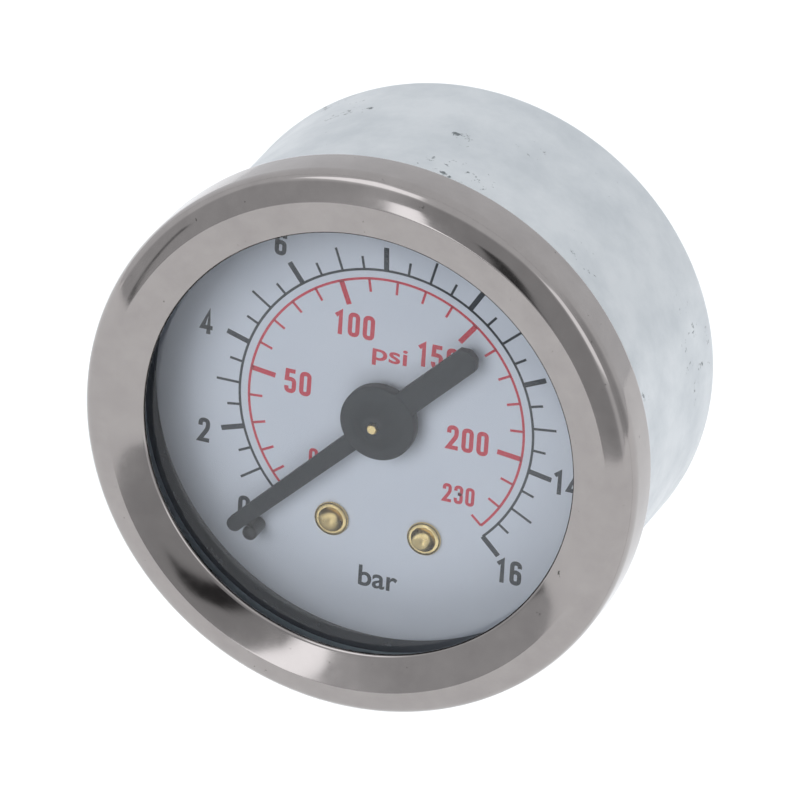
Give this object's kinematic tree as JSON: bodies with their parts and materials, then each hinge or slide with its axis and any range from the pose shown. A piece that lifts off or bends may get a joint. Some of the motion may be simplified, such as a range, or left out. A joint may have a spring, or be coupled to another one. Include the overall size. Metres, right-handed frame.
{
  "type": "pressure gauge",
  "caption": "Round panel pressure gauge with a flared bezel, dial and pointer, Bourdon tube movement, drawn case and centre-back threaded stem.",
  "frame": {"origin": "on the gauge's axis at the stem's sealing shoulder, where the thread starts", "axes": "+Y out of the back along the stem, so the dial faces -Y; +Z is the top of the dial"},
  "size_m": [0.0448, 0.0421, 0.0448],
  "materials": {
    "polished_steel": "polished stainless steel",
    "clear_plastic": "clear, glossy",
    "black_rubber": "matt moulded rubber",
    "black_plastic": "glossy moulded black",
    "zinc_plate": "bright blue-white zinc plate on drawn steel",
    "dial_white": "satin white paint with black and red print",
    "pointer_black": "matt black",
    "brass": "turned and stamped brass",
    "spring_bronze": "phosphor bronze strip",
    "tube_bronze": "drawn bronze tube",
    "socket_brass": "machined brass",
    "zinc_screw": "zinc-plated steel"
  },
  "bodies": {
    "housing": {"bezel": "polished_steel", "window": "clear_plastic", "window_gasket": "black_rubber", "spacer_ring": "black_plastic", "case": "zinc_plate", "dial": "dial_white", "stop_pin": "pointer_black", "hairspring": "spring_bronze", "hairspring_stud": "brass", "movement_front_plate": "brass", "movement_back_plate": "brass", "movement_pillar_left": "brass", "movement_pillar_right": "brass", "plate_screw_left": "zinc_screw", "plate_screw_right": "zinc_screw", "movement_screw_left": "zinc_screw", "movement_screw_right": "zinc_screw", "dial_pillar_left": "brass", "dial_pillar_right": "brass", "bourdon_tube": "tube_bronze", "socket": "socket_brass", "passage_plug": "socket_brass", "restrictor_screw": "zinc_screw", "stem_seal": "black_rubber", "case_screw_left": "zinc_screw", "case_screw_right": "zinc_screw"},
    "pointer": {"pointer": "pointer_black", "pinion_arbor": "brass", "hairspring_collet": "brass"},
    "sector": {"sector_gear": "brass", "sector_arbor": "brass", "link_screw": "zinc_screw"},
    "tube_tip": {"tube_tip": "brass", "tip_pin": "zinc_screw"},
    "link": {"link": "brass"}
  },
  "joints": [
    {"name": "sector_turn", "type": "hinge", "parent": "housing", "child": "sector", "pos_m": [0, -0.01875, -0.01105], "axis": [0, 1, 0], "range_deg": [-27, 0]},
    {"name": "pointer_turn", "type": "hinge", "parent": "housing", "child": "pointer", "pos_m": [0, -0.025, 0], "axis": [0, 1, 0], "range_deg": [-1, 271], "deforming": ["hairspring"]},
    {"name": "tube_flex", "type": "hinge", "parent": "housing", "child": "tube_tip", "pos_m": [-0.00252, -0.0184, 0.00374], "axis": [0, 1, 0], "range_deg": [-7.2, 0.1], "deforming": ["bourdon_tube"]},
    {"name": "link_swing", "type": "hinge", "parent": "tube_tip", "child": "link", "pos_m": [0.0093, -0.01815, -0.006], "axis": [0, 1, 0], "range_deg": [-0.1, 6.5]}
  ],
  "couplings": [
    {"joint": "pointer_turn", "follows": "sector_turn", "ratio": -10},
    {"joint": "tube_flex", "follows": "sector_turn", "ratio": 0.25953},
    {"joint": "link_swing", "follows": "sector_turn", "ratio": -0.23202}
  ]
}
